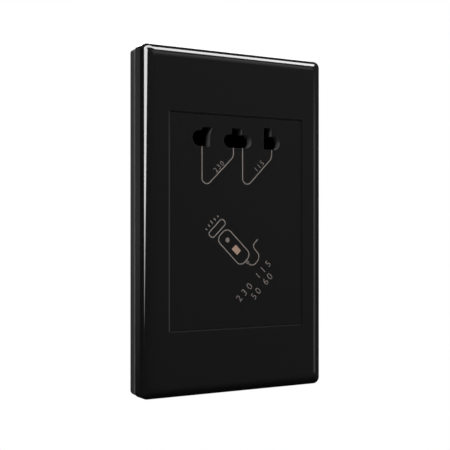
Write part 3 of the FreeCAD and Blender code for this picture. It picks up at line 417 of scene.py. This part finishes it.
def add_blocks(mesh, blocks):
    """Adds plain blocks, each six bounds in millimetres, to a mesh."""
    points = [tuple(v.co) for v in mesh.vertices]
    faces = [tuple(p.vertices) for p in mesh.polygons]
    for x0, x1, y0, y1, z0, z1 in blocks:
        first = len(points)
        points += [(x * mm, y * mm, z * mm) for x in (x0, x1) for y in (y0, y1) for z in (z0, z1)]
        for face in ((0, 1, 3, 2), (4, 6, 7, 5), (0, 4, 5, 1), (2, 3, 7, 6), (0, 2, 6, 4), (1, 5, 7, 3)):
            faces.append(tuple(first + k for k in face))
    mesh.clear_geometry()
    mesh.from_pydata(points, [], faces)
    mesh.validate()
    mesh.update()


arc_steps, round_steps = 14, 32
loops = [round_loop(cover_w, cover_h, back_corner_r, lip_back, arc_steps)]
for k in range(round_steps + 1):
    turn = math.pi / 2 * k / round_steps
    inset = edge_width * (1 - math.cos(turn))
    y = cover_front + edge_depth * (1 - math.sin(turn))
    r = front_corner_r - corner_narrows * inset
    loops.append(round_loop(cover_w - 2 * inset, cover_h - 2 * inset, r, y, arc_steps))
for grow, y in ((slope_w, cover_front), (0.0, cover_front + slope_drop), (0.0, collar_end)):
    loops.append(round_loop(window_w + 2 * grow, window_h + 2 * grow, 0.5, y, arc_steps))
for y in (collar_end, cover_front + face_t):
    loops.append(round_loop(window_w + 2 * collar_t, window_h + 2 * collar_t, 1.0, y, arc_steps))
for y in (cover_front + face_t, cover_back):
    loops.append(round_loop(cover_w - 2 * wall, cover_h - 2 * wall, 1.0, y, arc_steps))
for y in (cover_back, lip_back):
    loops.append(round_loop(cover_w - 2 * lip_t, cover_h - 2 * lip_t, back_corner_r - lip_t, y, arc_steps))
cover_mesh = ring_mesh("cover", loops)
inside = []
hook_x, hook_t, hook_w, hook_end = 37.0, 1.4, 6.0, -2.9
nose_t, nose_reach = 1.0, 1.0
for side in (-1, 1):
    for z in (-52.0, -18.0, 18.0, 52.0):
        stem = sorted((side * (hook_x - hook_t / 2), side * (hook_x + hook_t / 2)))
        nose = sorted((side * hook_x, side * (hook_x + hook_t / 2 + nose_reach)))
        inside.append((*stem, cover_front + face_t, hook_end, z - hook_w / 2, z + hook_w / 2))
        inside.append((*nose, hook_end - nose_t, hook_end, z - hook_w / 2, z + hook_w / 2))
rib_x, rib_t, rib_end = 22.0, 1.4, cover_back - 2.0
rib_foot, rib_top = window_h / 2 + 0.8, cover_h / 2 - 1.1
for x in (-rib_x, rib_x):
    for z in (rib_foot, rib_top), (-rib_top, -rib_foot):
        inside.append((x - rib_t / 2, x + rib_t / 2, cover_front + face_t, rib_end, *z))
add_blocks(cover_mesh, inside)
cover = place_piece(cover_mesh, gloss, 12)
level = cover.modifiers.new("flat_faces_stay_flat", "WEIGHTED_NORMAL")
level.keep_sharp = True
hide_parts("cover_frame")

# Marks: pale grey ink, pad printed on the panel in one pass, a few hundredths of a millimetre thick.
# Two brackets join the openings of each voltage, with its number along the slanting line; below them stand a
# shaver in outline with its cord, its switch in a second, beige ink, and two slanting rows of plain numbers.
panel_face, ink_t = -16.0, 0.03


def ink_colour(name, low, high):
    """A matt ink with the fine speckle of a pad print."""
    material, tree, shader, place = start_material(name, high, 0.5)
    speckle = tree.nodes.new("ShaderNodeTexNoise")
    speckle.inputs["Scale"].default_value = 5.0
    tree.links.new(place, speckle.inputs["Vector"])
    tree.links.new(mix_colours(tree, speckle.outputs["Fac"], low, high), shader.inputs["Base Color"])
    return material


grey_ink = ink_colour("grey_ink", (0.17, 0.15, 0.14), (0.25, 0.22, 0.20))
beige_ink = ink_colour("beige_ink", (0.36, 0.235, 0.17), (0.45, 0.30, 0.23))


def bend_path(corners, radii, steps=10):
    """A line through corner points, each rounded with its own radius."""
    path = [Vector(corners[0])]
    for before, corner, after, r in zip(corners, corners[1:], corners[2:], radii):
        corner = Vector(corner)
        into = (corner - Vector(before)).normalized()
        out = (Vector(after) - corner).normalized()
        half = into.angle(out) / 2
        start = corner - into * r * math.tan(half)
        end = corner + out * r * math.tan(half)
        middle = corner + (out - into).normalized() * (r / math.cos(half))
        for k in range(steps + 1):
            path.append(middle + (start - middle).lerp(end - middle, k / steps).normalized() * r)
    path.append(Vector(corners[-1]))
    return path


def ink_lines(name, strokes, ink=grey_ink):
    """Printed lines of even width, each a path on the panel's face, in one piece."""
    points, faces = [], []
    for path, width, closed in strokes:
        count, first = len(path), len(points)
        for k, p in enumerate(path):
            before = path[k - 1] if k or closed else p
            after = path[(k + 1) % count] if k + 1 < count or closed else p
            along = (after - before).normalized()
            across = Vector((-along.y, along.x)) * width / 2
            for side in (p + across, p - across):
                for y in (panel_face - ink_t, panel_face):
                    points.append((side.x * mm, y * mm, side.y * mm))
        for k in range(count if closed else count - 1):
            a, b = first + 4 * k, first + 4 * ((k + 1) % count)
            faces += [(a, b, b + 2, a + 2), (a + 1, a + 3, b + 3, b + 1)]
            faces += [(a, a + 1, b + 1, b), (a + 2, b + 2, b + 3, a + 3)]
        if not closed:
            last = first + 4 * (count - 1)
            faces += [(first, first + 2, first + 3, first + 1), (last, last + 1, last + 3, last + 2)]
    mesh = bpy.data.meshes.new(name)
    mesh.from_pydata(points, [], faces)
    return place_piece(mesh, ink)


line_w = 0.42
left_bracket = bend_path([(-17.07, 31.6), (-17.07, 12.9), (-2.3, 27.75), (-2.3, 31.6)], [2.16, 3.2])
right_bracket = bend_path([(2.13, 31.6), (2.13, 12.9), (16.45, 27.85), (16.45, 31.6)], [2.25, 3.2])
ink_lines("brackets", [(left_bracket, line_w, False), (right_bracket, line_w, False)])


def ink_number(name, text, x, z, size, slant, spread):
    """Plain printed numbers, centred on a point of their foot line, slanted on the panel's face."""
    curve = bpy.data.curves.new(name, "FONT")
    curve.body = text
    curve.size = size * mm
    curve.extrude = ink_t * mm / 2
    curve.offset = -0.05 * mm
    curve.align_x = "CENTER"
    curve.space_character = spread
    made = bpy.data.objects.new(name, curve)
    bpy.context.scene.collection.objects.link(made)
    made.rotation_euler = (math.pi / 2, -math.radians(slant), 0)
    made.location = (x * mm, (panel_face - ink_t / 2) * mm, z * mm)
    bpy.context.view_layer.update()
    mesh = bpy.data.meshes.new_from_object(made.evaluated_get(bpy.context.evaluated_depsgraph_get()))
    mesh.transform(made.matrix_world)
    mesh.name = name
    bpy.data.objects.remove(made)
    return place_piece(mesh, grey_ink)


ink_number("number_230", "230", -8.4, 22.5, 3.3, 45, 1.25)
ink_number("number_115", "115", 11.0, 23.4, 3.3, 46, 1.25)
ink_number("row_one", "230 115", 8.6, -26.4, 4.3, 46, 1.65)
ink_number("row_two", "50 60", 12.6, -28.8, 4.3, 47, 1.45)

mark_middle, mark_slant = Vector((-4.0, -8.8)), math.radians(45)


def on_mark(along, across):
    """A place on the shaver mark, from its middle, along its handle and across it."""
    c, s = math.cos(mark_slant), math.sin(mark_slant)
    return mark_middle + Vector((-along * c + across * s, along * s + across * c))


def mark_frame(foot, top, half, r):
    """A closed line round a part of the mark, with rounded corners."""
    corners = (foot, 0), (foot, half), (top, half), (top, -half), (foot, -half), (foot, 0)
    return bend_path([on_mark(*corner) for corner in corners], [r] * 4, 6)[:-1]


mark_w = 0.45
handle = mark_frame(-11.0, 5.5, 3.6, 2.6)
head = mark_frame(7.0, 10.0, 4.6, 1.2)
strokes = [(handle, mark_w, True), (head, mark_w, True)]
hair_gap, hair_foot, hair_top, hair_drop = 1.9, 11.4, 13.0, 0.35
for k in range(-2, 3):
    across = k * hair_gap
    strokes.append(([on_mark(hair_foot, across), on_mark(hair_top - abs(k) * hair_drop, across)], mark_w, False))
lamp_at, lamp_r, lamp_steps = 1.6, 0.5, 20
lamp = []
for k in range(lamp_steps):
    turn = math.tau * k / lamp_steps
    lamp.append(on_mark(lamp_at + lamp_r * math.cos(turn), lamp_r * math.sin(turn)))
strokes.append((lamp, 2 * lamp_r, True))
cord = [on_mark(*spot) for spot in ((-11.3, 0), (-15.4, 0), (-15.0, 6.2), (-8.6, 6.6), (-8.6, 10.5))]
strokes.append((bend_path(cord, [2.6, 2.8, 2.0]), mark_w, False))
strokes.append(([on_mark(-11.2, 0), on_mark(-12.6, 0)], 1.3, False))
ink_lines("shaver_mark", strokes)
ink_lines("shaver_mark_switch", [([on_mark(-6.2, 0), on_mark(-2.6, 0)], 2.7, False)], beige_ink)

# Stage: a pale floor below, a white surround that the camera sees, and dark cloths that keep the room out of the
# polished faces. Panels that only reflections see draw the bright lines along the cover's edges, and fills that
# reflections don't see light the colours.


def white_surround(tree):
    """One where a ray comes from the camera, a mirror or glass, which then see plain white."""
    path = tree.nodes.new("ShaderNodeLightPath")
    most = path.outputs["Is Camera Ray"]
    for name in ("Is Glossy Ray", "Is Transmission Ray"):
        either = tree.nodes.new("ShaderNodeMath")
        either.operation = "MAXIMUM"
        tree.links.new(most, either.inputs[0])
        tree.links.new(path.outputs[name], either.inputs[1])
        most = either.outputs["Value"]
    return most


world = bpy.data.worlds.new("studio")
bpy.context.scene.world = world
world.use_nodes = True
tree = world.node_tree
room = tree.nodes["Background"]
room.inputs["Color"].default_value = (0.15, 0.15, 0.15, 1.0)
white = tree.nodes.new("ShaderNodeBackground")
white.inputs["Color"].default_value = (1.0, 1.0, 1.0, 1.0)
pick = tree.nodes.new("ShaderNodeMixShader")
tree.links.new(white_surround(tree), pick.inputs["Fac"])
tree.links.new(room.outputs["Background"], pick.inputs[1])
tree.links.new(white.outputs["Background"], pick.inputs[2])
tree.links.new(pick.outputs["Shader"], tree.nodes["World Output"].inputs["Surface"])


def stage_sheet(name, points, faces, material):
    """A flat sheet of the stage, in metres."""
    mesh = bpy.data.meshes.new(name)
    mesh.from_pydata(points, [], faces)
    mesh.materials.append(material)
    sheet = bpy.data.objects.new(name, mesh)
    bpy.context.scene.collection.objects.link(sheet)
    return sheet


floor_z = -0.26
fade_near, fade_far, near_share = 330.0, 560.0, 0.85
paper, tree, shader, place = start_material("pale_paper", (0.9, 0.9, 0.9), 0.9)
glow = tree.nodes.new("ShaderNodeEmission")
away = tree.nodes.new("ShaderNodeVectorMath")
away.operation = "LENGTH"
tree.links.new(place, away.inputs[0])
fade = tree.nodes.new("ShaderNodeMapRange")
fade.inputs["From Min"].default_value = fade_near
fade.inputs["From Max"].default_value = fade_far
fade.inputs["To Min"].default_value = near_share
tree.links.new(away.outputs["Value"], fade.inputs["Value"])
share = tree.nodes.new("ShaderNodeMath")
share.operation = "MULTIPLY"
tree.links.new(white_surround(tree), share.inputs[0])
tree.links.new(fade.outputs["Result"], share.inputs[1])
pick = tree.nodes.new("ShaderNodeMixShader")
tree.links.new(share.outputs["Value"], pick.inputs["Fac"])
tree.links.new(shader.outputs["BSDF"], pick.inputs[1])
tree.links.new(glow.outputs["Emission"], pick.inputs[2])
tree.links.new(pick.outputs["Shader"], tree.nodes["Material Output"].inputs["Surface"])
floor_points = [(x, y, floor_z) for x, y in ((-6, -6), (6, -6), (6, 6), (-6, 6))]
floor = stage_sheet("floor", floor_points, [(0, 1, 2, 3)], paper)
floor.visible_diffuse = False

cloth, tree, shader, place = start_material("dark_cloth", (0.002, 0.002, 0.002), 1.0)
shader.inputs["Specular IOR Level"].default_value = 0.0
tent_r, tent_top, steps = 1.5, 1.3, 40
points, faces = [], []
for z in (floor_z + 0.002, tent_top):
    for k in range(steps):
        points.append((tent_r * math.cos(math.tau * k / steps), tent_r * math.sin(math.tau * k / steps), z))
for k in range(steps):
    n = (k + 1) % steps
    faces.append((k, n, steps + n, steps + k))
faces += [tuple(range(steps)), tuple(range(steps, 2 * steps))]
tent = stage_sheet("dark_tent", points, faces, cloth)
tent.visible_camera = tent.visible_diffuse = tent.visible_shadow = False


def soft_light(name, corners, strength, dark_at, bright_at):
    """A diffuser of one or two panels whose glow grows with height, from none at one level to full at another."""
    material = bpy.data.materials.new(name)
    material.use_nodes = True
    tree = material.node_tree
    tree.nodes.remove(tree.nodes["Principled BSDF"])
    glow = tree.nodes.new("ShaderNodeEmission")
    spot = tree.nodes.new("ShaderNodeTexCoord")
    split = tree.nodes.new("ShaderNodeSeparateXYZ")
    ramp = tree.nodes.new("ShaderNodeMapRange")
    ramp.inputs["From Min"].default_value = dark_at
    ramp.inputs["From Max"].default_value = bright_at
    ramp.inputs["To Max"].default_value = strength
    tree.links.new(spot.outputs["Object"], split.inputs["Vector"])
    tree.links.new(split.outputs["Z"], ramp.inputs["Value"])
    tree.links.new(ramp.outputs["Result"], glow.inputs["Strength"])
    tree.links.new(glow.outputs["Emission"], tree.nodes["Material Output"].inputs["Surface"])
    faces = [(0, 1, 2, 3), (3, 2, 4, 5)][: len(corners) // 2 - 1]
    sheet = stage_sheet(name, corners, faces, material)
    sheet.visible_camera = False
    return sheet


def sheet_round(left, right, distance, low, high):
    """Corners of an upright sheet between two bearings from straight ahead, right-hand ones positive."""
    feet = [(distance * math.sin(math.radians(a)), -distance * math.cos(math.radians(a))) for a in (left, right)]
    return [(*feet[0], low), (*feet[1], low), (*feet[1], high), (*feet[0], high)]


top_low, top_high = (-0.465, 0.850), (-0.093, 0.968)
top_corners = [(-0.6, *top_low), (0.67, *top_low), (0.67, *top_high), (-0.6, *top_high)]
soft_light("top_light", top_corners, 11.0, 0.0, 0.1).visible_diffuse = False
left_corners = [(-0.755, -0.080, -0.12), (-0.740, -0.130, -0.12), (-0.627, -0.559, 0.30), (-0.755, -0.080, 0.30)]
left_corners += [(-0.601, -0.656, 0.75), (-0.755, -0.080, 0.75)]
soft_light("left_light", left_corners, 12.5, -0.15, 0.06).visible_diffuse = False
corner_points = [(-0.755, -0.080, 0.75), (-0.601, -0.656, 0.75), (-0.6, *top_low), (-0.6, *top_high)]
soft_light("corner_light", corner_points, 11.5, 0.0, 0.1).visible_diffuse = False
soft_light("front_glow", sheet_round(0, 40, 1.35, 0.35, 1.1), 0.75, 0.36, 1.1)
soft_light("right_card", sheet_round(37, 57, 1.0, -0.25, 0.35), 0.5, 0.27, 0.14)
soft_light("back_card", sheet_round(-176, -154, 0.7, -0.25, 0.35), 0.11, -0.22, 0.0)
fill_corners = [(0.0, -0.6, 0.55), (0.5, -0.6, 0.55), (0.5, -0.2, 0.55), (0.0, -0.2, 0.55)]
soft_light("top_fill", fill_corners, 13.0, 0.0, 0.5).visible_glossy = False
side_corners = [(-0.9, 0.15, 0.0), (-0.9, -0.55, 0.0), (-0.9, -0.55, 0.6), (-0.9, 0.15, 0.6)]
soft_light("left_fill", side_corners, 6.0, -0.1, 0.1).visible_glossy = False
side_corners = [(0.9, 0.08, -0.1), (0.9, 0.6, -0.1), (0.9, 0.6, 0.6), (0.9, 0.08, 0.6)]
soft_light("right_fill", side_corners, 5.0, -0.2, 0.1).visible_glossy = False
rear_corners = [(0.0, 0.9, -0.1), (0.7, 0.9, -0.1), (0.7, 0.9, 0.7), (0.0, 0.9, 0.7)]
soft_light("rear_light", rear_corners, 4.5, -0.2, 0.1)

# Camera: a portrait lens a little to the left of the plate and level with its middle.
# The small upward shift frames the plate as the photograph does.
lens = bpy.data.cameras.new("camera")
lens.lens = 65.12
lens.sensor_width = 36.0
lens.shift_y = 0.0184
camera = bpy.data.objects.new("camera", lens)
bpy.context.scene.collection.objects.link(camera)
camera.location = (-0.161414, -0.324334, -0.004841)
camera.rotation_euler = (math.radians(90), 0, math.radians(-26.7025))
bpy.context.scene.camera = camera
bpy.context.scene.view_settings.view_transform = "Standard"
